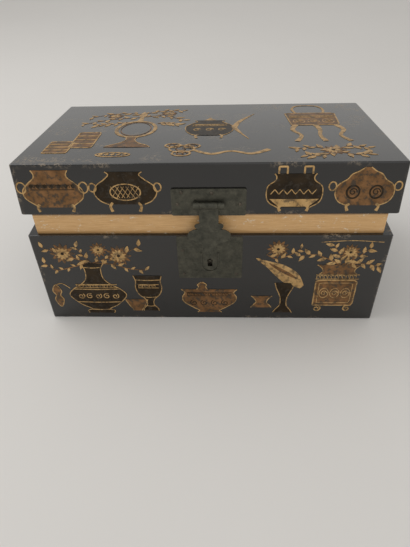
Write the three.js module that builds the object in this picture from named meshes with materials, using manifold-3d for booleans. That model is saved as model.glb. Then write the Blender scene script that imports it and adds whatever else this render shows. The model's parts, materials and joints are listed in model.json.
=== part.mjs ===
// A lacquered wooden box with a hinged lid that stands a little ajar and a hasp lock on its front.
// Millimetres. The origin is the centre of the underside, +X to the right, the front faces -Y, +Z up.
import * as THREE from "three";
import { mergeVertices } from "three/addons/utils/BufferGeometryUtils.js";
import Module from "manifold-3d";

const wasm = await Module();
wasm.setup();

// Case and lid
const boxWidth = 380;
const boxDepth = 218.5;
const caseHeight = 120.25;
const lidHeight = 54;
const endWall = 9;
const sideWall = 5;
const bottomThickness = 7;
const lidTopThickness = 6;
const lipThickness = 4;
const lipRise = 24;
const liningThickness = 0.75;
const lidEndClearance = 1;
const lidSideClearance = 1.8;
const lidAjar = THREE.MathUtils.degToRad(6.43);
const seatGap = 0.3;

// Rear hinges
const hingeSpacing = 220;
const hingeLength = 34;
const hingeLeafHeight = 24;
const hingeLeafThickness = 1.25;
const hingeSetback = 3;
const hingeKnuckleRadius = 2.6;
const hingePinRadius = 1.1;
const middleKnuckleLength = 12;

// Lock plates, keyhole and guard
const lockCentreX = 1.75;
const lowerPlateWidth = 69.5;
const lowerPlateHeight = 56.25;
const lowerPlateThickness = 1;
const upperPlateWidth = 74;
const upperPlateHeight = 28.5;
const upperPlateThickness = 2;
const plateCornerRadius = 2;
const keyholeDrop = 32.25;
const keyholeRadius = 3;
const keySlotWidth = 5;
const keySlotLength = 7.5;
const guardHalfWidth = 10.3;
const guardDrop = 21.25;
const guardLength = 27;
const guardRibWidth = 2.2;
const guardRise = 0.9;

// Hasp
const haspPivotHeight = 12.7;
const haspKnuckleRadius = 3.5;
const haspKnuckleLength = 18;
const haspEarLength = 6;
const haspPinRadius = 1.3;
const haspThickness = 1.8;
const haspStrapWidth = 19.5;
const haspStrapLength = 20;
const haspLobeWidth = 31;
const haspHeadWidth = 44;
const haspHeadCentre = 34;
const haspTongueWidth = 13.5;
const haspReach = 54;
const haspRestAngle = THREE.MathUtils.degToRad(4);
const catchBelowRim = 36.25;
const catchRadius = 1.4;
const catchLength = 3.2;

// Lock behind the lower plate
const pocketWidth = 48;
const pocketHeight = 36;
const pocketDepth = 4;
const pocketDrop = 16.25;
const lockBackThickness = 0.8;
const boltWidth = 32;
const boltHeight = 7;
const boltThickness = 1.5;
const boltAboveKeyhole = 3.5;
const talonWidth = 2.5;
const talonDrop = 5;
const guideHeight = 2;
const keyPinRadius = 0.9;

// Nails
const nailHeadRadius = 1.9;
const nailHeadHeight = 0.9;
const nailShankRadius = 0.7;
const nailDepth = 3;
const lidNailDepth = 2;

const halfWidth = boxWidth / 2;
const halfDepth = boxDepth / 2;
const frontFace = -halfDepth;
const innerX = halfWidth - endWall;
const innerY = halfDepth - sideWall;
const lipInnerX = innerX - lipThickness;
const lipInnerY = innerY - lipThickness;
const lipTop = caseHeight + lipRise;
const hingeY = halfDepth + hingeSetback;
const keyholeHeight = caseHeight - keyholeDrop;
const keySlotBottom = keyholeHeight - keySlotLength;
const guardTop = caseHeight - guardDrop;
const guardBottom = guardTop - guardLength;
const pocketBottom = caseHeight - pocketDrop - pocketHeight;
const boltBottom = keyholeHeight + boltAboveKeyhole;

const lacquer = new THREE.MeshStandardMaterial({ color: 0x1a1714, roughness: 0.25, metalness: 0 });
const tan = new THREE.MeshStandardMaterial({ color: 0xa87c4b, roughness: 0.45, metalness: 0 });
const brass = new THREE.MeshStandardMaterial({ color: 0x5e5a48, roughness: 0.5, metalness: 0.8 });
const iron = new THREE.MeshStandardMaterial({ color: 0x46423c, roughness: 0.6, metalness: 0.7 });

// A box between two corners. Each corner coordinate is written as it is given, so neighbours share it.
function slab(x0, x1, y0, y1, z0, z1) {
  const geometry = new THREE.BoxGeometry(1, 1, 1);
  const position = geometry.attributes.position;
  for (let i = 0; i < position.count; i += 1) {
    const x = position.getX(i) > 0 ? x1 : x0;
    const y = position.getY(i) > 0 ? y1 : y0;
    const z = position.getZ(i) > 0 ? z1 : z0;
    position.setXYZ(i, x, y, z);
  }
  return geometry;
}

function solidOf(geometry) {
  const bare = geometry.clone();
  bare.deleteAttribute("normal");
  bare.deleteAttribute("uv");
  const merged = mergeVertices(bare, 1e-4);
  return new wasm.Manifold(
    new wasm.Mesh({
      numProp: 3,
      vertProperties: merged.attributes.position.array,
      triVerts: new Uint32Array(merged.index.array),
    }),
  );
}

function geometryOf(solid) {
  const mesh = solid.getMesh();
  const geometry = new THREE.BufferGeometry();
  geometry.setAttribute("position", new THREE.BufferAttribute(new Float32Array(mesh.vertProperties), 3));
  geometry.setIndex(new THREE.BufferAttribute(new Uint32Array(mesh.triVerts), 1));
  geometry.computeVertexNormals();
  return geometry;
}

// The first shape with the added shapes joined to it and the cut shapes taken out of it.
function worked(first, added, cuts) {
  let solid = solidOf(first);
  for (const extra of added) {
    solid = solid.add(solidOf(extra));
  }
  for (const cut of cuts) {
    solid = solid.subtract(solidOf(cut));
  }
  return geometryOf(solid);
}

// A rod along X.
function rodX(radius, length, x, y, z, sides = 20) {
  const geometry = new THREE.CylinderGeometry(radius, radius, length, sides);
  geometry.rotateZ(Math.PI / 2);
  geometry.translate(x, y, z);
  return geometry;
}

// A rod along Y between two depths.
function rodY(radius, x, z, y0, y1, sides = 16) {
  const geometry = new THREE.CylinderGeometry(radius, radius, Math.abs(y1 - y0), sides);
  geometry.translate(x, (y0 + y1) / 2, z);
  return geometry;
}

// A shape drawn in X and Z, as thick as given, with its back at the given depth and its face to -Y.
function plateOf(shape, thickness, backY, curveSegments = 8) {
  const geometry = new THREE.ExtrudeGeometry(shape, {
    depth: thickness,
    bevelEnabled: false,
    curveSegments,
  });
  geometry.rotateX(Math.PI / 2);
  geometry.translate(0, backY, 0);
  return geometry;
}

function roundedRectangle(x0, x1, z0, z1, radius) {
  const shape = new THREE.Shape();
  shape.moveTo(x0 + radius, z0);
  shape.lineTo(x1 - radius, z0);
  shape.absarc(x1 - radius, z0 + radius, radius, -Math.PI / 2, 0, false);
  shape.lineTo(x1, z1 - radius);
  shape.absarc(x1 - radius, z1 - radius, radius, 0, Math.PI / 2, false);
  shape.lineTo(x0 + radius, z1);
  shape.absarc(x0 + radius, z1 - radius, radius, Math.PI / 2, Math.PI, false);
  shape.lineTo(x0, z0 + radius);
  shape.absarc(x0 + radius, z0 + radius, radius, Math.PI, 1.5 * Math.PI, false);
  return shape;
}

// A nail whose domed head stands on seatY towards out, with its shank the other way.
function nail(x, z, seatY, out, depth) {
  const profile = [
    [0, -depth],
    [nailShankRadius, -depth],
    [nailShankRadius, 0],
    [nailHeadRadius, 0],
    [nailHeadRadius * 0.75, nailHeadHeight * 0.7],
    [0, nailHeadHeight],
  ];
  const points = profile.map(([radius, height]) => new THREE.Vector2(radius, height));
  const geometry = new THREE.LatheGeometry(points, 10);
  if (out < 0) {
    geometry.rotateX(Math.PI);
  }
  geometry.translate(x, seatY, z);
  return geometry;
}

function nailBore(x, z, seatY, out, depth) {
  const radius = nailShankRadius + seatGap;
  return rodY(radius, x, z, seatY + out * seatGap, seatY - out * (depth + seatGap), 10);
}

function add(group, name, geometry, material) {
  const mesh = new THREE.Mesh(geometry, material);
  mesh.name = name;
  group.add(mesh);
}

const box = new THREE.Group();

// Where the nails stand: lower plate in case heights, upper plate in heights above the rim
const lowerPlateTop = caseHeight - seatGap;
const lowerPlateBottom = lowerPlateTop - lowerPlateHeight;
const lowerPlateFace = frontFace - lowerPlateThickness;
const nailInset = 6;
const lowerNails = [
  [lockCentreX - lowerPlateWidth / 2 + nailInset, lowerPlateBottom + nailInset],
  [lockCentreX + lowerPlateWidth / 2 - nailInset, lowerPlateBottom + nailInset],
  [lockCentreX - lowerPlateWidth / 2 + nailInset, lowerPlateTop - 3 * nailInset],
];
const upperPlateBottom = seatGap;
const upperPlateTop = upperPlateBottom + upperPlateHeight;
const upperPlateBack = frontFace - seatGap;
const upperPlateFace = upperPlateBack - upperPlateThickness;
const upperNails = [
  [lockCentreX - upperPlateWidth / 2 + nailInset, haspPivotHeight],
  [lockCentreX + upperPlateWidth / 2 - nailInset, haspPivotHeight],
  [lockCentreX + nailInset / 2, upperPlateTop - 0.75 * nailInset],
  [lockCentreX - upperPlateWidth / 2 + 1.7 * nailInset, upperPlateTop - 0.6 * nailInset],
];
const hingeNailOffsets = [-hingeLength / 4, hingeLength / 4];
const hingeNailHeight = hingeLeafHeight * 0.6;
const hingeCentres = { left: -hingeSpacing / 2, right: hingeSpacing / 2 };

// The keyhole, a round hole with a slot below it, widened by the given allowance.
function keyhole(allowance, y0, y1) {
  const round = rodY(keyholeRadius + allowance, lockCentreX, keyholeHeight, y0, y1);
  const half = keySlotWidth / 2 + allowance;
  const slot = slab(lockCentreX - half, lockCentreX + half, y0, y1, keySlotBottom - allowance, keyholeHeight);
  return [round, slot];
}

function makeCase() {
  const pocket = slab(
    lockCentreX - pocketWidth / 2,
    lockCentreX + pocketWidth / 2,
    frontFace - 1,
    frontFace + pocketDepth,
    pocketBottom,
    pocketBottom + pocketHeight,
  );
  const frontBores = lowerNails.map(([x, z]) => {
    return nailBore(x, z, lowerPlateFace, -1, lowerPlateThickness + nailDepth);
  });
  const backBores = [];
  for (const centre of Object.values(hingeCentres)) {
    for (const offset of hingeNailOffsets) {
      const seat = halfDepth + hingeLeafThickness;
      const depth = hingeLeafThickness + nailDepth;
      backBores.push(nailBore(centre + offset, caseHeight - hingeNailHeight, seat, 1, depth));
    }
  }
  add(box, "case_bottom", slab(-halfWidth, halfWidth, -halfDepth, halfDepth, 0, bottomThickness), lacquer);
  const front = slab(-halfWidth, halfWidth, frontFace, -innerY, bottomThickness, caseHeight);
  add(box, "case_front", worked(front, [], [pocket, ...frontBores]), lacquer);
  const back = slab(-halfWidth, halfWidth, innerY, halfDepth, bottomThickness, caseHeight);
  add(box, "case_back", worked(back, [], backBores), lacquer);
  add(box, "case_left_end", slab(-halfWidth, -innerX, -innerY, innerY, bottomThickness, caseHeight), lacquer);
  add(box, "case_right_end", slab(innerX, halfWidth, -innerY, innerY, bottomThickness, caseHeight), lacquer);
  add(box, "lip_front", slab(-innerX, innerX, -innerY, -lipInnerY, bottomThickness, lipTop), tan);
  add(box, "lip_back", slab(-innerX, innerX, lipInnerY, innerY, bottomThickness, lipTop), tan);
  add(box, "lip_left", slab(-innerX, -lipInnerX, -lipInnerY, lipInnerY, bottomThickness, lipTop), tan);
  add(box, "lip_right", slab(lipInnerX, innerX, -lipInnerY, lipInnerY, bottomThickness, lipTop), tan);
  const liningTop = bottomThickness + liningThickness;
  const lining = slab(-lipInnerX, lipInnerX, -lipInnerY, lipInnerY, bottomThickness, liningTop);
  add(box, "floor_lining", lining, tan);
}

function makeLowerLock() {
  const outline = roundedRectangle(
    lockCentreX - lowerPlateWidth / 2,
    lockCentreX + lowerPlateWidth / 2,
    lowerPlateBottom,
    lowerPlateTop,
    plateCornerRadius,
  );
  const bores = lowerNails.map(([x, z]) => nailBore(x, z, lowerPlateFace, -1, lowerPlateThickness + nailDepth));
  const plate = plateOf(outline, lowerPlateThickness, frontFace);
  const holes = keyhole(0, frontFace - 2 * lowerPlateThickness, frontFace + lowerPlateThickness);
  add(box, "lower_lock_plate", worked(plate, [], [...holes, ...bores]), brass);
  lowerNails.forEach(([x, z], index) => {
    const geometry = nail(x, z, lowerPlateFace, -1, lowerPlateThickness + nailDepth);
    add(box, `lower_plate_nail_${index + 1}`, geometry, iron);
  });

  const guard = new THREE.Shape();
  const bend = guardBottom + guardHalfWidth;
  const inner = guardHalfWidth - guardRibWidth;
  guard.moveTo(lockCentreX - guardHalfWidth, guardTop);
  guard.lineTo(lockCentreX - guardHalfWidth, bend);
  guard.absarc(lockCentreX, bend, guardHalfWidth, Math.PI, 2 * Math.PI, false);
  guard.lineTo(lockCentreX + guardHalfWidth, guardTop);
  guard.lineTo(lockCentreX + inner, guardTop);
  guard.lineTo(lockCentreX + inner, bend);
  guard.absarc(lockCentreX, bend, inner, 2 * Math.PI, Math.PI, true);
  guard.lineTo(lockCentreX - inner, guardTop);
  add(box, "keyhole_guard", plateOf(guard, guardRise, lowerPlateFace, 12), brass);

  const backFace = frontFace + pocketDepth;
  const backFront = backFace - lockBackThickness;
  const half = pocketWidth / 2 - seatGap;
  const caseLow = pocketBottom + seatGap;
  const caseHigh = pocketBottom + pocketHeight - seatGap;
  const back = slab(lockCentreX - half, lockCentreX + half, backFront, backFace, caseLow, caseHigh);
  const boltBack = backFront - seatGap;
  const boltFront = boltBack - boltThickness;
  const boltTop = boltBottom + boltHeight;
  const guideX = lockCentreX - boltWidth / 2;
  const upperGuideLow = boltTop + seatGap;
  const guideEnd = 2 * lockCentreX - guideX;
  const upperGuideHigh = upperGuideLow + guideHeight;
  const upperGuide = slab(guideX, guideEnd, boltFront, backFront, upperGuideLow, upperGuideHigh);
  const lowerGuideHigh = boltBottom - seatGap;
  const lowerGuideEnd = guideX + boltWidth / 4;
  const lowerGuide = slab(guideX, lowerGuideEnd, boltFront, backFront, lowerGuideHigh - guideHeight, lowerGuideHigh);
  add(box, "lock_case", worked(back, [upperGuide, lowerGuide], []), iron);

  const talonX = guideX + boltWidth / 4 + seatGap;
  const bolt = slab(guideX, guideX + boltWidth * 0.85, boltFront, boltBack, boltBottom, boltTop);
  const talon = slab(talonX, talonX + talonWidth, boltFront, boltBack, boltBottom - talonDrop, boltTop);
  add(box, "latch_bolt", worked(bolt, [talon], []), iron);
  const pinTip = frontFace - lowerPlateThickness / 2;
  add(box, "key_pin", rodY(keyPinRadius, lockCentreX, keyholeHeight, pinTip, backFront), brass);
}

// One hinge leaf: its plate lies on the back from the axis to the side that up gives, with its knuckles.
function hingeLeaf(centre, up, knuckles, axisZ, lift) {
  const half = hingeLength / 2;
  const low = hingeKnuckleRadius + 2 * seatGap;
  const plateBack = halfDepth + lift;
  const plateFront = plateBack + hingeLeafThickness;
  const zs = [axisZ + up * low, axisZ + up * hingeLeafHeight].sort((a, b) => a - b);
  const plate = slab(centre - half, centre + half, plateBack, plateFront, zs[0], zs[1]);
  const added = [];
  const cuts = [rodX(hingePinRadius + seatGap, hingeLength + 2, centre, hingeY, axisZ)];
  for (const [from, to] of knuckles) {
    added.push(rodX(hingeKnuckleRadius, to - from, centre + (from + to) / 2, hingeY, axisZ));
    const tabZs = [axisZ, axisZ + up * (low + 1)].sort((a, b) => a - b);
    added.push(slab(centre + from, centre + to, plateBack, hingeY, tabZs[0], tabZs[1]));
  }
  for (const offset of hingeNailOffsets) {
    const depth = hingeLeafThickness + nailDepth;
    cuts.push(nailBore(centre + offset, axisZ + up * hingeNailHeight, plateFront + lift, 1, depth));
  }
  return worked(plate, added, cuts);
}

function makeCaseHinges() {
  const half = hingeLength / 2;
  const middle = middleKnuckleLength / 2 + seatGap;
  for (const [side, centre] of Object.entries(hingeCentres)) {
    const leaf = hingeLeaf(centre, -1, [[-half, -middle], [middle, half]], caseHeight, 0);
    add(box, `${side}_hinge_case_leaf`, leaf, brass);
    add(box, `${side}_hinge_pin`, rodX(hingePinRadius, hingeLength, centre, hingeY, caseHeight), iron);
    hingeNailOffsets.forEach((offset, index) => {
      const seat = halfDepth + hingeLeafThickness;
      const z = caseHeight - hingeNailHeight;
      const geometry = nail(centre + offset, z, seat, 1, hingeLeafThickness + nailDepth);
      add(box, `${side}_case_leaf_nail_${index + 1}`, geometry, iron);
    });
  }
}

// The lid group turns about the hinge axis. Inside it heights count from the rim of the case.
const lidTurn = new THREE.Group();
lidTurn.position.set(0, hingeY, caseHeight);
lidTurn.rotation.x = -lidAjar;
const lid = new THREE.Group();
lid.position.set(0, -hingeY, 0);
lidTurn.add(lid);
box.add(lidTurn);

function makeLid() {
  const lidEndWall = endWall - lidEndClearance;
  const lidSideWall = sideWall - lidSideClearance;
  const ceiling = lidHeight - lidTopThickness;
  const wallTop = ceiling - seatGap;
  const innerFront = frontFace + lidSideWall;
  const innerBack = halfDepth - lidSideWall;
  const endInner = halfWidth - lidEndWall;
  const endFront = innerFront + seatGap;
  const endBack = innerBack - seatGap;
  const frontBores = upperNails.map(([x, z]) => {
    return nailBore(x, z, upperPlateFace - seatGap, -1, upperPlateThickness + 2 * seatGap + lidNailDepth);
  });
  const backBores = [];
  for (const centre of Object.values(hingeCentres)) {
    for (const offset of hingeNailOffsets) {
      const seat = halfDepth + hingeLeafThickness + 2 * seatGap;
      const depth = hingeLeafThickness + 2 * seatGap + lidNailDepth;
      backBores.push(nailBore(centre + offset, hingeNailHeight, seat, 1, depth));
    }
  }
  add(lid, "lid_top", slab(-halfWidth, halfWidth, -halfDepth, halfDepth, ceiling, lidHeight), lacquer);
  const front = slab(-halfWidth, halfWidth, frontFace, innerFront, seatGap, wallTop);
  add(lid, "lid_front", worked(front, [], frontBores), lacquer);
  const back = slab(-halfWidth, halfWidth, innerBack, halfDepth, seatGap, wallTop);
  add(lid, "lid_back", worked(back, [], backBores), lacquer);
  add(lid, "lid_left_end", slab(-halfWidth, -endInner, endFront, endBack, seatGap, wallTop), lacquer);
  add(lid, "lid_right_end", slab(endInner, halfWidth, endFront, endBack, seatGap, wallTop), lacquer);
  for (const [side, centre] of Object.entries(hingeCentres)) {
    const middle = middleKnuckleLength / 2;
    add(lid, `${side}_hinge_lid_leaf`, hingeLeaf(centre, 1, [[-middle, middle]], 0, seatGap), brass);
    hingeNailOffsets.forEach((offset, index) => {
      const seat = halfDepth + hingeLeafThickness + 2 * seatGap;
      const depth = hingeLeafThickness + 2 * seatGap + lidNailDepth;
      add(lid, `${side}_lid_leaf_nail_${index + 1}`, nail(centre + offset, hingeNailHeight, seat, 1, depth), iron);
    });
  }
}

const haspPivotY = upperPlateFace - seatGap - haspKnuckleRadius;

function makeUpperLock() {
  const outline = roundedRectangle(
    lockCentreX - upperPlateWidth / 2,
    lockCentreX + upperPlateWidth / 2,
    upperPlateBottom,
    upperPlateTop,
    plateCornerRadius,
  );
  const plate = plateOf(outline, upperPlateThickness, upperPlateBack);
  const added = [];
  const earStart = haspKnuckleLength / 2 + seatGap;
  for (const side of [-1, 1]) {
    const inner = lockCentreX + side * earStart;
    const outer = inner + side * haspEarLength;
    const xs = [inner, outer].sort((a, b) => a - b);
    added.push(rodX(haspKnuckleRadius, haspEarLength, (inner + outer) / 2, haspPivotY, haspPivotHeight));
    const footLow = haspPivotHeight - haspKnuckleRadius * 0.7;
    const footHigh = haspPivotHeight + haspKnuckleRadius * 0.7;
    added.push(slab(xs[0], xs[1], haspPivotY, upperPlateFace + upperPlateThickness / 2, footLow, footHigh));
  }
  const length = haspKnuckleLength + 2 * haspEarLength + 4;
  const bore = rodX(haspPinRadius + seatGap, length, lockCentreX, haspPivotY, haspPivotHeight);
  const depth = upperPlateThickness + 2 * seatGap + lidNailDepth;
  const bores = upperNails.map(([x, z]) => nailBore(x, z, upperPlateFace - seatGap, -1, depth));
  add(lid, "upper_lock_plate", worked(plate, added, [bore, ...bores]), brass);
  upperNails.forEach(([x, z], index) => {
    add(lid, `upper_plate_nail_${index + 1}`, nail(x, z, upperPlateFace - seatGap, -1, depth), iron);
  });
  const pinLength = haspKnuckleLength + 2 * haspEarLength;
  add(lid, "hasp_pin", rodX(haspPinRadius, pinLength, lockCentreX, haspPivotY, haspPivotHeight), iron);
}

// The hasp hangs from its pivot. It is drawn with heights below the pivot, and turned a little outwards.
function makeHasp() {
  const hasp = new THREE.Group();
  hasp.position.set(lockCentreX, haspPivotY, haspPivotHeight);
  hasp.rotation.x = -haspRestAngle;
  lid.add(hasp);
  const strap = haspStrapWidth / 2;
  const lobe = haspLobeWidth / 2;
  const head = haspHeadWidth / 2;
  const tongue = haspTongueWidth / 2;
  const lobeEnd = haspStrapLength + 6;
  const headEnd = haspHeadCentre + 8;
  const tipCentre = haspReach - tongue;
  const outline = new THREE.Shape();
  outline.moveTo(-strap, 0);
  outline.lineTo(-strap, -haspStrapLength);
  outline.bezierCurveTo(-lobe, -haspStrapLength + 1, -lobe - 1, -lobeEnd + 1, -strap - 1.5, -lobeEnd);
  outline.bezierCurveTo(-head + 4, -lobeEnd, -head - 1, -haspHeadCentre + 4, -head, -haspHeadCentre);
  outline.bezierCurveTo(-head + 1, -headEnd + 2, -strap - 3, -headEnd + 1, -tongue - 1, -headEnd - 1);
  outline.lineTo(-tongue, -tipCentre);
  outline.absarc(0, -tipCentre, tongue, Math.PI, 2 * Math.PI, false);
  outline.lineTo(tongue + 1, -headEnd - 1);
  outline.bezierCurveTo(strap + 3, -headEnd + 1, head - 1, -headEnd + 2, head, -haspHeadCentre);
  outline.bezierCurveTo(head + 1, -haspHeadCentre + 4, head - 4, -lobeEnd, strap + 1.5, -lobeEnd);
  outline.bezierCurveTo(lobe + 1, -lobeEnd + 1, lobe, -haspStrapLength + 1, strap, -haspStrapLength);
  outline.lineTo(strap, 0);
  const trimmed = haspKnuckleLength / 2;
  const blade = plateOf(outline, haspThickness, haspKnuckleRadius);
  const knuckle = rodX(haspKnuckleRadius, haspKnuckleLength, 0, 0, 0);
  const bore = rodX(haspPinRadius + seatGap, haspKnuckleLength + 4, 0, 0, 0);
  const clearLow = -haspKnuckleRadius - seatGap;
  const notches = [-1, 1].map((side) => {
    const xs = [side * trimmed, side * head].sort((a, b) => a - b);
    return slab(xs[0], xs[1], -haspKnuckleRadius, haspKnuckleRadius + 1, clearLow, haspKnuckleRadius);
  });
  add(hasp, "hasp", worked(blade, [knuckle], [bore, ...notches]), brass);

  const catchDrop = haspPivotHeight + catchBelowRim;
  const from = haspKnuckleRadius + seatGap;
  const to = haspKnuckleRadius + catchLength;
  add(hasp, "catch_stud", rodY(catchRadius, 0, -catchDrop, from, to), iron);
}

makeCase();
makeLowerLock();
makeCaseHinges();
makeLid();
makeUpperLock();
makeHasp();

export default box;
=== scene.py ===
import json
import math
import bpy
import bmesh
import numpy as np
from mathutils import Matrix, Vector


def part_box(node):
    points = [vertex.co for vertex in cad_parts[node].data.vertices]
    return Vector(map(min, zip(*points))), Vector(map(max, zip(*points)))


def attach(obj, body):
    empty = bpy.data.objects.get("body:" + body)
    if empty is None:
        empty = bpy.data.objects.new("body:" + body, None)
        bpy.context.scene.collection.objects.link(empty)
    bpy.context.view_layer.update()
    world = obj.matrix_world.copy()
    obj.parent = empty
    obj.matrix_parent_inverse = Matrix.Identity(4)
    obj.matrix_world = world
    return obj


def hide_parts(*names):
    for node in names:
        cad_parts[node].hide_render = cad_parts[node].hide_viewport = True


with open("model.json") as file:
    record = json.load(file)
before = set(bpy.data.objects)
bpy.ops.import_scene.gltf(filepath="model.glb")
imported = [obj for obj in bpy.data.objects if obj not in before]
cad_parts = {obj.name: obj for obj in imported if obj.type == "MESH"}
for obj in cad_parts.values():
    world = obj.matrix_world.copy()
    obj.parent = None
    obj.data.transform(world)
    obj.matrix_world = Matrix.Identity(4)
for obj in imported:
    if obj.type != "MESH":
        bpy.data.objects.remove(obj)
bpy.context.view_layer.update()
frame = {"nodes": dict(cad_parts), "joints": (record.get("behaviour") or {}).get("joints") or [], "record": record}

rng = np.random.default_rng(7)
mm = 0.001


# Sizes taken from the frame, in metres

_, caseHigh = (np.array(c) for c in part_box("case_bottom"))
frontLow, frontHigh = (np.array(c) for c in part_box("case_front"))
_, endHigh = (np.array(c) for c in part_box("case_left_end"))
lipLow, lipHigh = (np.array(c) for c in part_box("lip_front"))
_, lipEndHigh = (np.array(c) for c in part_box("lip_left"))
lidJoint = next(j for j in frame["joints"] if j["name"] == "lid_hinge")
hingePlace = np.array(lidJoint["pos_m"])
ajar = math.radians(-lidJoint["range_deg"][0])  # how far open the lid stands at rest
halfWidth, halfDepth, floorTop = caseHigh
rim = frontHigh[2]
innerX = -endHigh[0]
innerY = -frontHigh[1]


def lidToWorld(points):
    # Points with heights above the rim, turned about the hinge axis by the angle at which the lid stands
    p = points - np.array([0.0, hingePlace[1], 0.0])
    y = p[..., 1] * math.cos(ajar) + p[..., 2] * math.sin(ajar)
    z = -p[..., 1] * math.sin(ajar) + p[..., 2] * math.cos(ajar)
    return np.stack([p[..., 0], y + hingePlace[1], z + hingePlace[2]], axis=-1)


print("frame read", halfWidth, halfDepth, rim, ajar)


def meshFrom(name, points, faces, material, smooth=True):
    mesh = bpy.data.meshes.new(name)
    mesh.from_pydata(np.asarray(points).reshape(-1, 3).tolist(), [], [list(f) for f in faces])
    mesh.polygons.foreach_set("use_smooth", np.full(len(mesh.polygons), smooth))
    mesh.materials.append(material)
    mesh.update()
    made = bpy.data.objects.new(name, mesh)
    bpy.context.scene.collection.objects.link(made)
    return made


def gridFaces(rows, columns, start):
    # Each cell of the grid as a four-cornered face, turning from rows to columns
    i, j = np.meshgrid(np.arange(rows - 1), np.arange(columns - 1), indexing="ij")
    a = start + i * columns + j
    return np.stack([a, a + columns, a + columns + 1, a + 1], axis=-1).reshape(-1, 4)


# Materials

coatRoughness = 0.12


def newMaterial(name, metallic=0.0, coat=0.0):
    material = bpy.data.materials.new(name)
    material.use_nodes = True
    shader = material.node_tree.nodes["Principled BSDF"]
    shader.inputs["Metallic"].default_value = metallic
    shader.inputs["Coat Weight"].default_value = coat
    shader.inputs["Coat Roughness"].default_value = coatRoughness
    return material, shader


def link(tree, source, target):
    tree.links.new(source, target)


def noise(tree, vector, scale, detail=4.0, roughness=0.6):
    node = tree.nodes.new("ShaderNodeTexNoise")
    node.inputs["Scale"].default_value = scale
    node.inputs["Detail"].default_value = detail
    node.inputs["Roughness"].default_value = roughness
    link(tree, vector, node.inputs["Vector"])
    return node.outputs["Fac"]


def ramp(tree, value, low, high, outLow=0.0, outHigh=1.0):
    node = tree.nodes.new("ShaderNodeMapRange")
    node.inputs["From Min"].default_value = low
    node.inputs["From Max"].default_value = high
    node.inputs["To Min"].default_value = outLow
    node.inputs["To Max"].default_value = outHigh
    link(tree, value, node.inputs["Value"])
    return node.outputs["Result"]


def combine(tree, operation, a, b):
    node = tree.nodes.new("ShaderNodeMath")
    node.operation = operation
    for socket, value in zip(node.inputs, (a, b)):
        if isinstance(value, (int, float)):
            socket.default_value = value
        else:
            link(tree, value, socket)
    return node.outputs[0]


def mixColour(tree, factor, first, second):
    # Each colour is three numbers or a socket; inputs 6 and 7 of the node are its two colours
    node = tree.nodes.new("ShaderNodeMix")
    node.data_type = "RGBA"
    link(tree, factor, node.inputs["Factor"])
    for index, value in ((6, first), (7, second)):
        if isinstance(value, tuple):
            node.inputs[index].default_value = (*value, 1.0)
        else:
            link(tree, value, node.inputs[index])
    return node.outputs[2]


def objectVector(tree, stretch=(1.0, 1.0, 1.0)):
    coordinates = tree.nodes.new("ShaderNodeTexCoord")
    mapping = tree.nodes.new("ShaderNodeMapping")
    mapping.inputs["Scale"].default_value = stretch
    link(tree, coordinates.outputs["Object"], mapping.inputs["Vector"])
    return mapping.outputs["Vector"]


surfaceMarks = {
    "Dust": {"scale": 14.0, "detail": 6.0, "roughness": 0.6, "low": 0.35, "high": 0.75},
    "Scratches": {"scale": 60.0, "detail": 5.0, "roughness": 0.8, "low": 0.60, "high": 0.72},
    "Patches": {"scale": 190.0, "detail": 5.0, "roughness": 0.7, "low": 0.50, "high": 0.60},
}
scratchGrain = {"stretch": (1.0, 18.0, 9.0), "turn": (0.2, 0.1, 0.35)}


def wearGroup():
    # Soft dust, fine scratches and patchy wear, as three masks that every finish shares
    group = bpy.data.node_groups.new("surfaceWear", "ShaderNodeTree")
    group.interface.new_socket("Vector", in_out="INPUT", socket_type="NodeSocketVector")
    for name in surfaceMarks:
        group.interface.new_socket(name, in_out="OUTPUT", socket_type="NodeSocketFloat")
    given = group.nodes.new("NodeGroupInput").outputs["Vector"]
    out = group.nodes.new("NodeGroupOutput")
    grain = group.nodes.new("ShaderNodeMapping")
    grain.inputs["Scale"].default_value = scratchGrain["stretch"]
    grain.inputs["Rotation"].default_value = scratchGrain["turn"]
    link(group, given, grain.inputs["Vector"])
    for name, mark in surfaceMarks.items():
        vector = grain.outputs["Vector"] if name == "Scratches" else given
        pattern = noise(group, vector, mark["scale"], mark["detail"], mark["roughness"])
        link(group, ramp(group, pattern, mark["low"], mark["high"]), out.inputs[name])
    return group


wear = wearGroup()


def worn(tree, stretch=(1.0, 1.0, 1.0)):
    node = tree.nodes.new("ShaderNodeGroup")
    node.node_tree = wear
    vector = objectVector(tree, stretch)
    link(tree, vector, node.inputs["Vector"])
    return node.outputs, vector


def bumped(tree, shader, height, finish):
    bump = tree.nodes.new("ShaderNodeBump")
    bump.inputs["Distance"].default_value = finish["bumpHeight"] * mm
    bump.inputs["Strength"].default_value = finish["bumpStrength"]
    link(tree, height, bump.inputs["Height"])
    link(tree, bump.outputs["Normal"], shader.inputs["Normal"])


lacquerFinish = {
    "coat": 0.55, "polished": 0.16, "dull": 0.24, "black": (0.0045, 0.0040, 0.0034),
    "dusty": (0.0095, 0.0082, 0.0064), "scratch": (0.06, 0.052, 0.042), "scratchAmount": 0.12,
    "chip": (0.20, 0.155, 0.105), "chipArea": 26.0, "chipGrain": 260.0, "chipRoughness": 0.35,
    "waves": 30.0, "bumpHeight": 0.2, "bumpStrength": 0.10,
}


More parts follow.
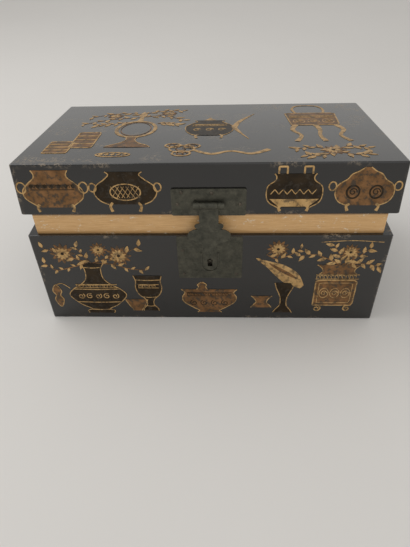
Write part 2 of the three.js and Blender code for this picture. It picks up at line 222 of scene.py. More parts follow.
def lacquerMaterial(finish):
    # Chips show only where the mesh is marked as an edge, and there only in patches
    material, shader = newMaterial("blackLacquer", coat=finish["coat"])
    tree = material.node_tree
    masks, vector = worn(tree)
    edge = tree.nodes.new("ShaderNodeAttribute")
    edge.attribute_name = "edgeWear"
    area = ramp(tree, noise(tree, vector, finish["chipArea"], 3.0), 0.52, 0.64)
    grain = ramp(tree, noise(tree, vector, finish["chipGrain"], 6.0, 0.7), 0.50, 0.58)
    chips = combine(tree, "MULTIPLY", combine(tree, "MULTIPLY", area, edge.outputs["Fac"]), grain)
    base = mixColour(tree, masks["Dust"], finish["black"], finish["dusty"])
    scratches = combine(tree, "MULTIPLY", masks["Scratches"], finish["scratchAmount"])
    scratched = mixColour(tree, scratches, base, finish["scratch"])
    link(tree, mixColour(tree, chips, scratched, finish["chip"]), shader.inputs["Base Color"])
    polish = ramp(tree, masks["Dust"], 0.0, 1.0, finish["polished"], finish["dull"])
    rough = combine(tree, "ADD", polish, combine(tree, "MULTIPLY", chips, finish["chipRoughness"]))
    link(tree, rough, shader.inputs["Roughness"])
    bumped(tree, shader, combine(tree, "SUBTRACT", noise(tree, vector, finish["waves"], 2.0), chips), finish)
    return material


giltTones = {
    "bright": {"light": (0.66, 0.43, 0.19), "dark": (0.46, 0.28, 0.11), "rubbed": 0.7},
    "copper": {"light": (0.30, 0.155, 0.065), "dark": (0.13, 0.070, 0.030), "rubbed": 0.85},
    "dark": {"light": (0.045, 0.030, 0.016), "dark": (0.020, 0.014, 0.008), "rubbed": 0.5},
}
giltFinish = {
    "ground": (0.045, 0.032, 0.018), "metallic": 0.75, "mottling": 95.0, "brushing": 400.0,
    "polished": 0.32, "dull": 0.5, "grain": 900.0, "bumpHeight": 0.1, "bumpStrength": 0.4,
}


def giltMaterial(name, tone, finish):
    # Gold that is rubbed through to the dark ground in patches, where it is no longer metal
    material, shader = newMaterial(name)
    tree = material.node_tree
    masks, vector = worn(tree)
    rubbed = combine(tree, "MULTIPLY", masks["Patches"], tone["rubbed"])
    mottled = ramp(tree, noise(tree, vector, finish["mottling"]), 0.35, 0.65)
    gold = mixColour(tree, mottled, tone["light"], tone["dark"])
    link(tree, mixColour(tree, rubbed, gold, finish["ground"]), shader.inputs["Base Color"])
    link(tree, ramp(tree, rubbed, 0.0, 1.0, finish["metallic"], 0.0), shader.inputs["Metallic"])
    brushing = noise(tree, vector, finish["brushing"])
    brushed = ramp(tree, brushing, 0.2, 0.8, finish["polished"], finish["dull"])
    link(tree, brushed, shader.inputs["Roughness"])
    bumped(tree, shader, noise(tree, vector, finish["grain"]), finish)
    return material


# The shade colour, its amount and its band below and above the rim are painted shade where the lip rises out of
# the case
tanFinish = {
    "coat": 0.35, "polished": 0.28, "dull": 0.45, "brown": (0.62, 0.345, 0.125), "pale": (0.82, 0.52, 0.235),
    "shade": (0.14, 0.07, 0.03), "shadeAmount": 0.6, "shadeBelowRim": 2.0, "shadeAboveRim": 4.0,
    "edge": (0.10, 0.055, 0.03), "edgeAmount": 0.8, "edgeFrom": 2.2, "edgeTo": 0.8,
    "flake": (0.90, 0.78, 0.58), "flakeAmount": 0.75, "bumpHeight": 0.4, "bumpStrength": 0.4,
}


def tanMaterial(finish):
    # Streaked along the boards, with painted shade at the rim where the lip rises out of the case, dark on the top
    # edge, and with pale flakes
    material, shader = newMaterial("tanLip", coat=finish["coat"])
    tree = material.node_tree
    masks, _ = worn(tree, (0.4, 0.4, 1.0))
    fibres = noise(tree, objectVector(tree, (4.0, 4.0, 60.0)), 12.0, 6.0, 0.7)
    base = mixColour(tree, ramp(tree, fibres, 0.35, 0.7), finish["brown"], finish["pale"])
    place = tree.nodes.new("ShaderNodeSeparateXYZ")
    link(tree, objectVector(tree), place.inputs["Vector"])
    height = place.outputs["Z"]
    # Painted shade: darkest at and below the case rim, fading out a little above it
    paintedShadeFrom = rim - finish["shadeBelowRim"] * mm
    paintedShadeTo = rim + finish["shadeAboveRim"] * mm
    shade = combine(tree, "MULTIPLY", ramp(tree, height, paintedShadeFrom, paintedShadeTo, 1.0, 0.0), finish["shadeAmount"])
    edgeFrom = lipHigh[2] - finish["edgeFrom"] * mm
    edgeTo = lipHigh[2] - finish["edgeTo"] * mm
    edge = ramp(tree, height, edgeFrom, edgeTo, 0.0, finish["edgeAmount"])
    edged = mixColour(tree, edge, mixColour(tree, shade, base, finish["shade"]), finish["edge"])
    flakes = ramp(tree, noise(tree, objectVector(tree, (1.0, 1.0, 1.8)), 130.0, 5.0, 0.75), 0.60, 0.66)
    shown = combine(tree, "MULTIPLY", flakes, finish["flakeAmount"])
    link(tree, mixColour(tree, shown, edged, finish["flake"]), shader.inputs["Base Color"])
    polish = ramp(tree, masks["Dust"], 0.0, 1.0, finish["polished"], finish["dull"])
    link(tree, polish, shader.inputs["Roughness"])
    bumped(tree, shader, combine(tree, "SUBTRACT", fibres, flakes), finish)
    return material


metals = {
    "tarnishedBrass": {"dark": (0.060, 0.060, 0.048), "light": (0.115, 0.110, 0.085), "roughness": 0.40},
    "darkIron": {"dark": (0.060, 0.052, 0.042), "light": (0.15, 0.13, 0.10), "roughness": 0.45},
}
metalFinish = {
    "metallic": 0.85, "mottling": 150.0, "scratchAmount": 0.5, "scratchGain": 2.2, "roughnessSpread": 0.22,
    "bumpHeight": 0.2, "bumpStrength": 0.35,
}


def metalMaterial(name, finish):
    # Mottled tarnish with bare metal along the scratches
    metal = metals[name]
    material, shader = newMaterial(name, metallic=finish["metallic"])
    tree = material.node_tree
    masks, vector = worn(tree)
    mottled = ramp(tree, noise(tree, vector, finish["mottling"], 6.0, 0.7), 0.35, 0.68)
    base = mixColour(tree, mottled, metal["dark"], metal["light"])
    bare = tuple(min(1.0, c * finish["scratchGain"]) for c in metal["light"])
    rubbed = combine(tree, "MULTIPLY", masks["Scratches"], finish["scratchAmount"])
    link(tree, mixColour(tree, rubbed, base, bare), shader.inputs["Base Color"])
    roughest = metal["roughness"] + finish["roughnessSpread"]
    rough = ramp(tree, masks["Patches"], 0.0, 1.0, metal["roughness"], roughest)
    link(tree, rough, shader.inputs["Roughness"])
    bumped(tree, shader, mottled, finish)
    return material


lacquer = lacquerMaterial(lacquerFinish)
gilt = {name: giltMaterial(f"{name}Gilt", tone, giltFinish) for name, tone in giltTones.items()}
tanLip = tanMaterial(tanFinish)
brass = metalMaterial("tarnishedBrass", metalFinish)
iron = metalMaterial("darkIron", metalFinish)
print("materials made")


# Shells of lacquer: rounded rectangles carried from ring to ring

shellGrid = {"cornerSteps": 6, "edgeSteps": 5, "cornerMargin": 4.0}


def roundedRing(halfX, halfY, radius):
    # Four corner arcs with a point just past each, in order round the rectangle, and a mark on the arcs
    steps = shellGrid["cornerSteps"]
    margin = shellGrid["cornerMargin"] * mm
    angles = np.linspace(0, math.pi / 2, steps)
    points, marks = [], []
    for turn, (sx, sy) in enumerate(((1, 1), (-1, 1), (-1, -1), (1, -1))):
        a = angles + turn * math.pi / 2
        centre = np.array([sx * (halfX - radius), sy * (halfY - radius)])
        arc = centre + radius * np.column_stack([np.cos(a), np.sin(a)])
        before = arc[0] + margin * np.array([math.sin(a[0]), -math.cos(a[0])])
        after = arc[-1] + margin * np.array([-math.sin(a[-1]), math.cos(a[-1])])
        points += [before[None], arc, after[None]]
        marks += [np.zeros(1), np.ones(steps), np.zeros(1)]
    return np.concatenate(points), np.concatenate(marks)


def loft(name, rings, material, toWorld=None, closed=False):
    # rings are (halfX, halfY, radius, height, mark), each joined to the next, capped or closed on itself
    loops, marks = [], []
    for halfX, halfY, radius, height, mark in rings:
        flat, cornerMark = roundedRing(halfX, halfY, radius)
        loops.append(np.column_stack([flat, np.full(len(flat), height)]))
        marks.append(np.maximum(cornerMark, mark))
    count = len(loops[0])
    points = np.concatenate(loops)
    if toWorld:
        points = toWorld(points)
    faces = []
    levels = len(loops) if closed else len(loops) - 1
    for level in range(levels):
        a = level * count + np.arange(count)
        b = level * count + (np.arange(count) + 1) % count
        up = (a + count) % (len(loops) * count)
        upNext = (b + count) % (len(loops) * count)
        faces += np.stack([a, b, upNext, up], axis=1).tolist()
    if not closed:
        faces.append(list(range(count))[::-1])
        faces.append([(len(loops) - 1) * count + k for k in range(count)])
    made = meshFrom(name, points, faces, material, smooth=False)
    attribute = made.data.attributes.new("edgeWear", "FLOAT", "POINT")
    attribute.data.foreach_set("value", np.concatenate(marks).astype(np.float32))
    work = bmesh.new()
    work.from_mesh(made.data)
    bmesh.ops.recalc_face_normals(work, faces=work.faces)
    work.to_mesh(made.data)
    work.free()
    return made


def fillet(halfX, halfY, radius, height, outward, upward, corner):
    # A quarter turn from a level face to an upright one, as rings
    rings = []
    for a in np.linspace(0, math.pi / 2, shellGrid["edgeSteps"]):
        inset = radius * (1 - math.sin(a))
        rise = radius * (1 - math.cos(a))
        rings.append((halfX - outward * inset, halfY - outward * inset, corner, height + upward * rise, 1.0))
    return rings


def tubRings(shape, outer, inner, low, floor, high):
    # The outside from the underside up to the rim, over it, and down the inside to the floor
    r = shape["edgeRadius"] * mm
    w = shape["wearWidth"] * mm
    c = shape["cornerRadius"] * mm
    ox, oy = outer
    ix, iy = inner
    rings = [(ox - r - w, oy - r - w, c, low, 0.0)]
    rings += fillet(ox, oy, r, low, 1, 1, c)
    rings += [(ox, oy, c, low + r + w, 0.0), (ox, oy, c, high - r - w, 0.0)]
    rings += fillet(ox, oy, r, high, 1, -1, c)[::-1]
    rings += fillet(ix, iy, r * 0.5, high, -1, -1, c)
    rings += [(ix, iy, c, high - r - w, 0.0), (ix, iy, c, floor, 0.0)]
    return rings


caseShell = {"edgeRadius": 1.1, "cornerRadius": 2.2, "wearWidth": 4.0}
lockPocket = {"clearance": 0.3, "reachOut": 2.0}


def cutLockPocket(shell):
    # The room of the lock behind its plate, cut from outside the front face
    low, high = (np.array(c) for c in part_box("lock_case"))
    low[1] = frontLow[1] - lockPocket["reachOut"] * mm
    low -= lockPocket["clearance"] * mm
    high += lockPocket["clearance"] * mm
    bpy.ops.mesh.primitive_cube_add(size=1.0)
    cutter = bpy.context.active_object
    place = Matrix.Translation(Vector((low + high) / 2))
    cutter.data.transform(place @ Matrix.Diagonal((*(high - low), 1.0)))
    cut = shell.modifiers.new("lockPocket", "BOOLEAN")
    cut.operation = "DIFFERENCE"
    cut.solver = "EXACT"
    cut.object = cutter
    view = bpy.context.evaluated_depsgraph_get()
    shell.data = bpy.data.meshes.new_from_object(shell.evaluated_get(view))
    shell.modifiers.clear()
    bpy.data.objects.remove(cutter)


def makeCase():
    rings = tubRings(caseShell, (halfWidth, halfDepth), (innerX, innerY), 0.0, floorTop, rim)
    casePiece = loft("caseLacquer", rings, lacquer)
    cutLockPocket(casePiece)
    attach(casePiece, "case")
    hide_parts("case_bottom", "case_front", "case_back", "case_left_end", "case_right_end")


lidShell = {"edgeRadius": 1.6, "cornerRadius": 2.2, "wearWidth": 4.0, "height": 54.0, "thickness": 6.0,
            "halfInside": 182.0, "frontWall": 3.2, "gapBelow": 0.3}
lidHeight = lidShell["height"] * mm


def makeLid():
    # A tub drawn upwards as the case is, then turned over by counting its heights down from the lid's top
    inner = (lidShell["halfInside"] * mm, halfDepth - lidShell["frontWall"] * mm)
    thickness = lidShell["thickness"] * mm
    depth = lidHeight - lidShell["gapBelow"] * mm
    rings = tubRings(lidShell, (halfWidth, halfDepth), inner, 0.0, thickness, depth)
    rings = [(x, y, corner, lidHeight - height, mark) for x, y, corner, height, mark in rings]
    lidPiece = loft("lidLacquer", rings, lacquer, lidToWorld)
    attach(lidPiece, "lid")
    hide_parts("lid_top", "lid_front", "lid_back", "lid_left_end", "lid_right_end")


lipPiece = {"edgeRadius": 0.9, "cornerRadius": 1.2}


def makeLip():
    # The four lip boards as one frame, with its top edges rounded
    r = lipPiece["edgeRadius"] * mm
    c = lipPiece["cornerRadius"] * mm
    ix, iy = -lipEndHigh[0], -lipHigh[1]
    low, top = lipLow[2], lipHigh[2]
    rings = [(innerX, innerY, c, low, 0.0), (innerX, innerY, c, rim, 0.0)]
    rings += fillet(innerX, innerY, r, top, 1, -1, c)[::-1]
    rings += fillet(ix, iy, r, top, -1, -1, c)
    rings += [(ix, iy, c, rim, 0.0), (ix, iy, c, low, 0.0)]
    lipFrame = loft("lipFrame", rings, tanLip, closed=True)
    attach(lipFrame, "case")
    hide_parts("lip_front", "lip_back", "lip_left", "lip_right")


makeCase()
makeLid()
makeLip()
print("shells made")


# Metalwork: each plate, leaf and strap with its edges eased

metalPieces = {"bevel": 0.35, "segments": 2, "bevelAngle": 40.0, "flatAngle": 1.0, "mergeWithin": 0.001}
bodyOf = {node: body for body, nodes in frame["record"]["behaviour"]["bodies"].items() for node in nodes}
slotOf = {entry["node"]: entry["material_slot"] for entry in frame["record"]["subparts"]}
finishOf = {"lacquer": lacquer, "tan_lining": tanLip, "tarnished_brass": brass, "dark_iron": iron}


def eased(node):
    # A merged copy of the node, with flat faces joined and the sharp edges rounded
    body, slot = bodyOf[node], slotOf[node]
    made = bpy.data.objects.new(node + "Eased", frame["nodes"][node].data.copy())
    bpy.context.scene.collection.objects.link(made)
    work = bmesh.new()
    work.from_mesh(made.data)
    bmesh.ops.remove_doubles(work, verts=work.verts, dist=metalPieces["mergeWithin"] * mm)
    flat = math.radians(metalPieces["flatAngle"])
    bmesh.ops.dissolve_limit(work, angle_limit=flat, verts=work.verts, edges=work.edges)
    work.to_mesh(made.data)
    work.free()
    made.data.materials.clear()
    made.data.materials.append(finishOf[slot])
    made.data.polygons.foreach_set("use_smooth", np.full(len(made.data.polygons), False))
    bevel = made.modifiers.new("easedEdges", "BEVEL")
    bevel.width = metalPieces["bevel"] * mm
    bevel.segments = metalPieces["segments"]
    bevel.limit_method = "ANGLE"
    bevel.angle_limit = math.radians(metalPieces["bevelAngle"])
    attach(made, body)
    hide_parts(node)


leaves = [node for node in bodyOf if node.endswith("_leaf")]
for node in ["lower_lock_plate", "upper_lock_plate", "keyhole_guard", "hasp"] + leaves:
    eased(node)
for node, source in frame["nodes"].items():
    source.data.materials.clear()
    source.data.materials.append(finishOf[slotOf[node]])
print("metalwork made")


# Gilt ornament: every stroke, leaf and vessel is a ribbon of varying width with a low crown.
# Its places and half widths are in mm: right and up on a front, right and back on the lid's top.

ornament = {"lift": 0.04, "layer": 0.12, "rise": 0.22, "fillRise": 0.35, "panelRise": 0.3, "outline": 0.55,
            "thinnest": 0.05, "fretPitch": 4.0}
drawn = {}


def smoothCurve(points, count):
    # A Catmull-Rom curve through the points, with its end points repeated
    p = np.asarray(points, float)
    padded = np.vstack([p[:1], p, p[-1:]])
    t = np.linspace(0, len(p) - 1 - 1e-9, count)
    i = t.astype(int)
    f = (t - i)[:, None]
    a, b, c, d = padded[i], padded[i + 1], padded[i + 2], padded[i + 3]
    return 0.5 * (2 * b + (c - a) * f + (2 * a - 5 * b + 4 * c - d) * f**2 + (3 * b - a - 3 * c + d) * f**3)


def stroke(face, tone, points, widths, rise=ornament["rise"], level=0, across=5, straight=False):
    # Across the ribbon the height follows a half circle, and each level lies a layer higher
    rows = np.column_stack([np.asarray(points, float), np.broadcast_to(widths, len(points))])
    if straight:
        t = np.linspace(0, len(rows) - 1, 6 * len(rows))
        curve = np.column_stack([np.interp(t, np.arange(len(rows)), rows[:, k]) for k in range(3)])
    else:
        curve = smoothCurve(rows, max(8, 7 * len(rows)))
    along = np.gradient(curve[:, :2], axis=0)
    along /= np.maximum(np.linalg.norm(along, axis=1, keepdims=True), 1e-9)
    side = np.column_stack([along[:, 1], -along[:, 0]])
    u = np.linspace(-1, 1, across)[:, None, None]
    flat = curve[None, :, :2] + u * side[None] * np.maximum(curve[None, :, 2:], ornament["thinnest"])
    crown = rise * np.sqrt(np.maximum(1 - u[..., 0] ** 2, 0))
    height = ornament["lift"] + level * ornament["layer"] + crown * np.ones(len(curve))[None]
    drawn.setdefault((face, tone), []).append(np.dstack([flat, height]))


def vessel(face, tone, centre, profile, across=11):
    # A standing silhouette from (height, half width) pairs, with a bright line along both sides
    fill = "dark" if tone == "copper" else "copper"
    spine = [(centre, h) for h, _ in profile]
    stroke(face, fill, spine, [w for _, w in profile], ornament["fillRise"], across=across)
    for side in (-1, 1):
        edge = [(centre + side * w, h) for h, w in profile]
        stroke(face, "bright", edge, ornament["outline"], level=2)


def bands(face, centre, places):
    # Hoops round a vessel at (height, half width), which sag as hoops seen from above do
    for height, half in places:
        hoop = [(centre - half, height), (centre, height - 0.8), (centre + half, height)]
        stroke(face, "bright", hoop, 0.6, level=3)


def rectangle(x0, z0, x1, z1):
    return [(x0, z0), (x1, z0), (x1, z1), (x0, z1), (x0, z0)]


def panel(face, x0, z0, x1, z1, across):
    # A filled rectangle with a bright line round it
    middle = (x0 + x1) / 2
    spine = [(middle, z0), (middle, z1)]
    stroke(face, "copper", spine, (x1 - x0) / 2, ornament["panelRise"], across=across, straight=True)
    stroke(face, "bright", rectangle(x0, z0, x1, z1), 0.8, level=2, straight=True)


def leaf(face, tone, x, z, angle, length, width=None, level=0):
    # Widest a third of the way along
    half = width or length * 0.22
    c, s = math.cos(angle), math.sin(angle)
    steps = np.array([0.0, 0.3, 0.65, 1.0]) * length
    stroke(face, tone, [(x + c * d, z + s * d) for d in steps], [0.1, half, half * 0.8, 0.1], level=level)


def bloom(face, x, z, radius):
    # Two rings of narrow petals round a small raised eye, from (outer share, inner share, tone)
    petals = 12
    for ring, (share, inner, tone) in enumerate(((1.0, 0.35, "copper"), (0.62, 0.12, "bright"))):
        for k in range(petals):
            a = 2 * math.pi * (k + 0.5 * ring) / petals
            start = (x + inner * radius * math.cos(a), z + inner * radius * math.sin(a))
            leaf(face, tone, *start, a, radius * (share - inner), radius * 0.15, level=1 + ring)
    leaf(face, "dark", x - radius * 0.13, z, 0.0, radius * 0.26, radius * 0.12, level=4)


def branch(face, points, leafCount, size):
    # A tapering twig with leaves to both sides
    stroke(face, "copper", points, np.linspace(0.9, 0.3, len(points)), level=1)
    route = smoothCurve(points, leafCount + 2)
    heading = np.gradient(route, axis=0)
    for k in range(1, leafCount + 2):
        side = 1 if k % 2 else -1
        angle = math.atan2(heading[k, 1], heading[k, 0]) + side * (0.7 + 0.25 * rng.random())
        leaf(face, "bright", *route[k], angle, size * (0.8 + 0.5 * rng.random()), level=2)


def scroll(face, tone, x, z, radius, turn=1, start=0.0, width=0.55):
    # A spiral of one and a quarter turns that closes in on its centre
    a = np.linspace(0, 1.25 * 2 * math.pi, 14)
    r = radius * (1 - 0.75 * a / a[-1])
    spiral = np.column_stack([x + r * np.cos(start + turn * a), z + r * np.sin(start + turn * a)])
    stroke(face, tone, spiral, width, level=3)


def ringOf(face, tone, x, z, rx, rz, width):
    a = np.linspace(0, 2 * math.pi, 25)
    stroke(face, tone, np.column_stack([x + rx * np.cos(a), z + rz * np.sin(a)]), width, level=2)


def fretBand(face, tone, x0, x1, z, height):
    # A row of square hooks between two lines
    pitch = ornament["fretPitch"]
    for line in (z, z + height):
        stroke(face, tone, [(x0, line), (x1, line)], 0.4, level=3, straight=True)
    for x in np.arange(x0 + 1, x1 - pitch + 0.5, pitch):
        end = x + pitch - 1.4
        hook = [(x, z + 1), (x, z + height - 1), (end, z + height - 1), (end, z + 0.42 * height)]
        stroke(face, tone, hook, 0.35, level=3, across=3, straight=True)


def feet(face, places, top, length):
    # Curved feet at (place, the side to which they bend)
    for x, side in places:
        bend = [(x, top), (x + side * 2.5, top - length * 0.4), (x + side, top - length)]
        stroke(face, "bright", bend, [1.9, 1.3, 1.6], level=1)


def ringHandles(face, xs, z, radius):
    for x in xs:
        ringOf(face, "bright", x, z, radius, radius * 1.25, 0.7)


def flowerVase(face):
    profile = [(8, 15), (12, 16), (15, 11), (22, 22), (36, 33), (46, 27), (53, 17), (62, 10), (74, 9),
               (80, 11), (84, 14)]
    vessel(face, "copper", -129, profile)
    bands(face, -129, ((14, 12), (26, 26), (46, 26), (53, 16), (78, 9)))
    fretBand(face, "bright", -153, -105, 48, 5)
    for offset in (-20, -10, 0, 10, 20):
        scroll(face, "bright", -129 + offset, 35, 4.2, turn=1 if offset % 20 else -1, start=1.0)
    bloom(face, -158, 97, 14)
    bloom(face, -118, 102, 10)
    bloom(face, -97, 94, 14)
    branch(face, [(-132, 84), (-145, 90), (-160, 96), (-178, 105)], 7, 8)
    branch(face, [(-129, 84), (-136, 94), (-142, 106)], 5, 7)
    branch(face, [(-127, 84), (-112, 90), (-96, 94), (-74, 107)], 8, 8)
    branch(face, [(-124, 84), (-104, 82), (-88, 76), (-70, 74)], 6, 7)
    branch(face, [(-134, 84), (-152, 78), (-170, 74), (-181, 84)], 7, 7)


def gourd(face):
    vessel(face, "bright", -176, [(18, 0.5), (22, 3), (30, 5), (36, 2.5), (42, 5), (48, 3.5), (52, 0.8)])
    stroke(face, "bright", [(-176, 52), (-168, 54), (-160, 47)], 0.5, level=2)


def goblet(face):
    vessel(face, "copper", -69, [(12, 9), (16, 8), (22, 4), (30, 5), (38, 12), (48, 15), (58, 14), (66, 16)])
    bands(face, -69, ((20, 5), (34, 8), (60, 14)))
    fretBand(face, "bright", -81, -57, 48, 5)
    vessel(face, "bright", -85, [(12, 5), (15, 6), (20, 9), (27, 12), (30, 13)], across=7)


def liddedBowl(face):
    vessel(face, "bright", 0, [(10, 14), (13, 12), (17, 18), (26, 29), (34, 31), (41, 28), (46, 32)])
    fretBand(face, "dark", -26, 26, 36, 5)
    for offset in (-18, -6, 6, 18):
        scroll(face, "dark", offset, 25, 4.5, start=2.0)
    vessel(face, "bright", -8, [(46, 6), (50, 4), (53, 5), (57, 0.6)], across=7)


def plumeInBeaker(face):
    plume = [(57, 87), (66, 82), (78, 74), (92, 62), (104, 50)]
    stroke(face, "bright", plume, [2.0, 4.5, 8.5, 9.5, 3], ornament["fillRise"], across=9)
    stroke(face, "copper", [(66, 84), (74, 78), (86, 70), (98, 62)], [0.6, 1.8, 2.2, 0.6], level=3)
    leaf(face, "bright", 58, 87, 2.6, 8, 1.6, level=2)
    vessel(face, "copper", 85, [(10, 11), (14, 9), (22, 4), (34, 4), (48, 9), (56, 11)])
    vessel(face, "bright", 60, [(18, 12), (21, 10), (27, 6), (33, 9), (36, 12)], across=7)
    bloom(face, 74, 103, 12)
    branch(face, [(62, 96), (74, 90), (88, 96), (98, 104)], 6, 7)


def planter(face):
    centre = 141.5
    panel(face, 119, 22, 164, 60, across=11)
    stroke(face, "bright", rectangle(123, 26, 160, 56), 0.45, level=2, straight=True)
    for offset in (-12, 0, 12):
        ringOf(face, "bright", centre + offset, 41, 5, 7, 0.5)
        scroll(face, "bright", centre + offset, 41, 3.6)
    fretBand(face, "bright", 118, 165, 62, 6)
    vessel(face, "bright", centre, [(69, 20), (73, 17), (78, 19), (82, 24)], across=9)
    for side in (-1, 1):
        scroll(face, "bright", centre + side * 17, 17, 4.5, turn=side, start=1.2, width=0.9)
    branch(face, [(141, 82), (128, 90), (112, 96), (98, 94)], 7, 9)
    branch(face, [(142, 82), (140, 94), (132, 108)], 6, 8)
    branch(face, [(144, 82), (158, 92), (170, 104)], 6, 9)
    branch(face, [(146, 82), (164, 84), (182, 80)], 7, 8)
    bloom(face, 150, 99, 11)
    stroke(face, "bright", [(118, 112), (150, 114), (182, 112)], 0.4, level=1)


def petalBurner(face):
    profile = [(9, 16), (13, 22), (19, 29), (27, 30), (34, 24), (40, 17), (44, 16), (48, 18)]
    vessel(face, "bright", -152, profile)
    fretBand(face, "dark", -174, -130, 28, 5)
    for offset in np.arange(-21, 22, 7):
        leaf(face, "dark", -152 + offset, 34, -math.pi / 2, 5, 2, level=3)
    ringHandles(face, (-183, -121), 30, 4.5)
    feet(face, ((-168, -1), (-136, 1)), 12, 8)


def latticeBurner(face):
    vessel(face, "copper", -80, [(12, 18), (16, 26), (24, 31), (32, 28), (38, 20), (43, 15), (46, 18)])
    ringOf(face, "bright", -80, 25, 15, 8.5, 0.8)
    for x in np.arange(-90, -69, 5):
        for lean in (-4, 4):
            stroke(face, "bright", [(x + lean, 19), (x - lean, 31)], 0.3, level=3, across=3, straight=True)
    feet(face, ((-94, -1), (-68, 1)), 14, 10)
    ringHandles(face, (-112, -48), 30, 3.5)


def zigzagBurner(face):
    vessel(face, "copper", 85, [(8, 16), (13, 24), (20, 27), (30, 26), (36, 19), (40, 18), (43, 20)])
    base = [(85, 9), (85, 17)]
    stroke(face, "bright", base, [15, 24], ornament["panelRise"], level=2, across=9, straight=True)
    zigzag = [(62 + 4 * k, 22 + 5 * (k % 2)) for k in range(12)]
    stroke(face, "bright", zigzag, 0.5, level=3, straight=True)
    for x in (73, 97):
        handle = [(x - 4, 43), (x - 4, 50), (x + 4, 50), (x + 4, 43)]
        stroke(face, "bright", handle, 0.9, level=2, straight=True)
    feet(face, ((73, -1), (97, 1)), 10, 6)


def domedBurner(face):
    profile = [(10, 16), (14, 24), (22, 28), (31, 26), (37, 18), (42, 14), (45, 8), (49, 2.5)]
    vessel(face, "bright", 152, profile)
    for x in (141, 163):
        ringOf(face, "dark", x, 24, 6, 6.5, 1.2)
        scroll(face, "dark", x, 24, 4)
    feet(face, ((139, -1), (165, 1)), 12, 8)
    ringHandles(face, (121, 183), 30, 3.5)


def bookCases(face):
    for x0, y0, x1, y1 in ((-168, -78, -143, -42), (-145, -62, -121, -10)):
        panel(face, x0, y0, x1, y1, across=9)
        for share in (0.25, 0.5, 0.75):
            y = y0 + share * (y1 - y0)
            stroke(face, "bright", [(x0, y), (x1, y)], 1.1, level=3, straight=True)


def mirrorInBlossom(face):
    ringOf(face, "bright", -84, 2, 22, 30, 2.2)
    ringOf(face, "copper", -84, 2, 17, 25, 0.6)
    stroke(face, "bright", [(-84, 33), (-84, 48), (-84, 62), (-84, 75)], [4, 2.5, 5, 0.3], level=1)
    vessel(face, "bright", -84, [(-62, 24), (-56, 20), (-48, 10), (-38, 5), (-29, 6)])
    for points in ([(-84, 60), (-100, 68), (-122, 66), (-146, 52)],
                   [(-84, 50), (-108, 46), (-130, 36), (-150, 22)],
                   [(-84, 64), (-70, 74), (-54, 80), (-36, 78)],
                   [(-82, 52), (-66, 56), (-48, 50), (-32, 36)],
                   [(-98, 30), (-116, 22), (-132, 18)],
                   [(-62, 24), (-50, 22), (-38, 18)]):
        branch(face, points, 8, 9)
    bloom(face, -118, 56, 10)
    bloom(face, -52, 66, 10)
    ringOf(face, "bright", -94, -84, 17, 6, 1.0)
    for offset in np.arange(-12, 13, 6):
        scroll(face, "bright", -94 + offset, -84, 2.4)


def coveredPot(face):
    vessel(face, "copper", 0, [(-25, 14), (-20, 20), (-8, 26), (8, 27), (20, 20), (27, 15), (33, 18)])
    fretBand(face, "bright", -20, 20, 10, 6)
    for offset in (-14, 0, 14):
        scroll(face, "bright", offset, -4, 5)
    stroke(face, "bright", [(0, 33), (0, 38), (0, 45)], [9, 4, 0.4], level=1)
    feet(face, ((-12, -1), (12, 1)), -22, 12)
    stroke(face, "bright", [(28, 4), (34, 26), (44, 44), (54, 60)], [3.5, 2.6, 1.8, 0.4], level=1)
    stroke(face, "bright", [(28, 4), (34, -14), (43, -38)], [3.0, 1.6, 0.5], level=1)


def cloudSceptre(face):
    for x, y, r in ((-26, -68, 13), (-36, -58, 8), (-16, -60, 8), (-26, -82, 9)):
        ringOf(face, "bright", x, y, r, r * 0.8, 1.1)
        scroll(face, "copper", x, y, r * 0.7)
    handle = [(-14, -72), (4, -84), (24, -76), (44, -84), (62, -72)]
    stroke(face, "bright", handle, [2.2, 2.6, 2.0, 2.6, 3.2], level=1)


def squareCauldron(face):
    body = [(121, 10), (121, 60)]
    stroke(face, "copper", body, [27, 30], ornament["fillRise"], across=11, straight=True)
    edge = [(94, 10), (148, 10), (151, 60), (91, 60), (94, 10)]
    stroke(face, "bright", edge, 0.9, level=2, straight=True)
    fretBand(face, "bright", 94, 148, 40, 7)
    for offset in (-17, 0, 17):
        ringOf(face, "bright", 121 + offset, 25, 6.5, 8.5, 0.6)
        scroll(face, "bright", 121 + offset, 25, 4.6)
    for x, side in ((98, -1), (121, 0.4), (144, 1)):
        leg = [(x, 10), (x + 5 * side, -8), (x - 2 * side, -28), (x + 5 * side, -48)]
        stroke(face, "bright", leg, [3.4, 2.6, 2.0, 3.0], level=1)
    handle = [(104, 60), (102, 80), (110, 94), (132, 94), (140, 80), (138, 60)]
    stroke(face, "bright", handle, 1.6, level=2)


def blossomSpray(face):
    bloom(face, 125, -76, 13)
    for points in ([(125, -76), (106, -66), (90, -72)],
                   [(125, -76), (144, -64), (160, -70)],
                   [(125, -80), (112, -92), (98, -90)],
                   [(128, -80), (146, -90), (158, -86)]):
        branch(face, points, 6, 10)


motifsOn = {
    "caseFront": (flowerVase, gourd, goblet, liddedBowl, plumeInBeaker, planter),
    "lidFront": (petalBurner, latticeBurner, zigzagBurner, domedBurner),
    "lidTop": (bookCases, mirrorInBlossom, coveredPot, cloudSceptre, squareCauldron, blossomSpray),
}


def ontoFace(face, grid):
    # (right, up, height off the lacquer) in mm, laid on one face of the box
    a, b, h = grid[..., 0] * mm, grid[..., 1] * mm, grid[..., 2] * mm
    if face == "caseFront":
        return np.stack([a, -halfDepth - h, b], axis=-1)
    if face == "lidFront":
        return lidToWorld(np.stack([a, -halfDepth - h, b], axis=-1))
    return lidToWorld(np.stack([a, b, lidHeight + h], axis=-1))


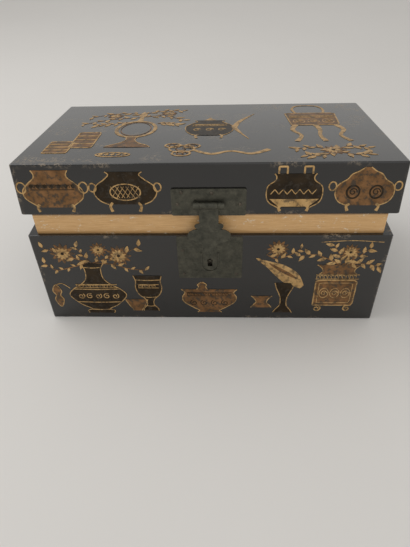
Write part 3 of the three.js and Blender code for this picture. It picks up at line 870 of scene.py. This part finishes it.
for face, motifs in motifsOn.items():
    for motif in motifs:
        motif(face)
for (face, tone), grids in drawn.items():
    points, faces, start = [], [], 0
    for grid in grids:
        rows, columns = grid.shape[:2]
        points.append(ontoFace(face, grid).reshape(-1, 3))
        faces.append(gridFaces(rows, columns, start))
        start += rows * columns
    piece = meshFrom(f"{face}Ornament_{tone}", np.concatenate(points), np.concatenate(faces), gilt[tone])
    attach(piece, "case" if face == "caseFront" else "lid")
print("ornament made", sum(len(g) for g in drawn.values()), "strokes")


# Studio: a pale floor, a large soft light from the left and a weak one from the front

studio = {"floorSize": 8.0, "floorPlace": (0.0, 1.0, 0.0), "floorColour": (0.80, 0.78, 0.75),
          "floorShade": 0.96, "floorRoughness": 0.8, "worldColour": (1.0, 0.985, 0.96), "worldStrength": 0.55,
          "aim": (0.0, 0.0, 0.1)}
lamps = {"key": {"place": (-0.9, 0.2, 1.5), "size": 1.2, "power": 9.0},
         "fill": {"place": (0.5, -1.4, 1.1), "size": 1.5, "power": 3.0}}


def makeFloor():
    bpy.ops.mesh.primitive_plane_add(size=studio["floorSize"], location=studio["floorPlace"])
    floor = bpy.context.active_object
    floor.name = "floor"
    material, shader = newMaterial("paleFloor")
    tree = material.node_tree
    shaded = tuple(c * studio["floorShade"] for c in studio["floorColour"])
    base = mixColour(tree, noise(tree, objectVector(tree), 3.0), studio["floorColour"], shaded)
    link(tree, base, shader.inputs["Base Color"])
    shader.inputs["Roughness"].default_value = studio["floorRoughness"]
    floor.data.materials.append(material)


def makeLights():
    for name, lamp in lamps.items():
        light = bpy.data.lights.new(name, "AREA")
        light.size = lamp["size"]
        light.energy = lamp["power"]
        holder = bpy.data.objects.new(name, light)
        holder.location = lamp["place"]
        aim = Vector(studio["aim"]) - Vector(lamp["place"])
        holder.rotation_euler = aim.to_track_quat("-Z", "Y").to_euler()
        bpy.context.scene.collection.objects.link(holder)
    world = bpy.data.worlds.new("room")
    world.use_nodes = True
    background = world.node_tree.nodes["Background"]
    background.inputs["Color"].default_value = (*studio["worldColour"], 1.0)
    background.inputs["Strength"].default_value = studio["worldStrength"]
    bpy.context.scene.world = world


# The camera of the photograph, in metres and radians, and its focal length in pixels of a 410 x 547 frame
camera = {"place": (0.01784, -0.50462, 0.40135), "pitch": 0.6978, "yaw": -0.0555, "roll": -0.0338,
          "focalPixels": 467.0, "longSidePixels": 547.0, "sensor": 36.0}


def makeCamera():
    # Turned about the upright by yaw, tipped down by pitch, then rolled about its own line of sight
    yaw, pitch, roll = camera["yaw"], camera["pitch"], camera["roll"]
    forward = Vector((math.sin(yaw) * math.cos(pitch), math.cos(yaw) * math.cos(pitch), -math.sin(pitch)))
    right = Vector((math.cos(yaw), -math.sin(yaw), 0.0))
    up = right.cross(forward)
    rightRolled = right * math.cos(roll) + up * math.sin(roll)
    upRolled = -right * math.sin(roll) + up * math.cos(roll)
    data = bpy.data.cameras.new("photoCamera")
    data.sensor_width = camera["sensor"]
    data.lens = camera["focalPixels"] / camera["longSidePixels"] * camera["sensor"]
    holder = bpy.data.objects.new("photoCamera", data)
    rotation = Matrix((rightRolled, upRolled, -forward)).transposed().to_4x4()
    holder.matrix_world = Matrix.Translation(Vector(camera["place"])) @ rotation
    bpy.context.scene.collection.objects.link(holder)
    bpy.context.scene.camera = holder


makeFloor()
makeLights()
makeCamera()
bpy.context.scene.view_settings.view_transform = "Standard"
print("studio made")
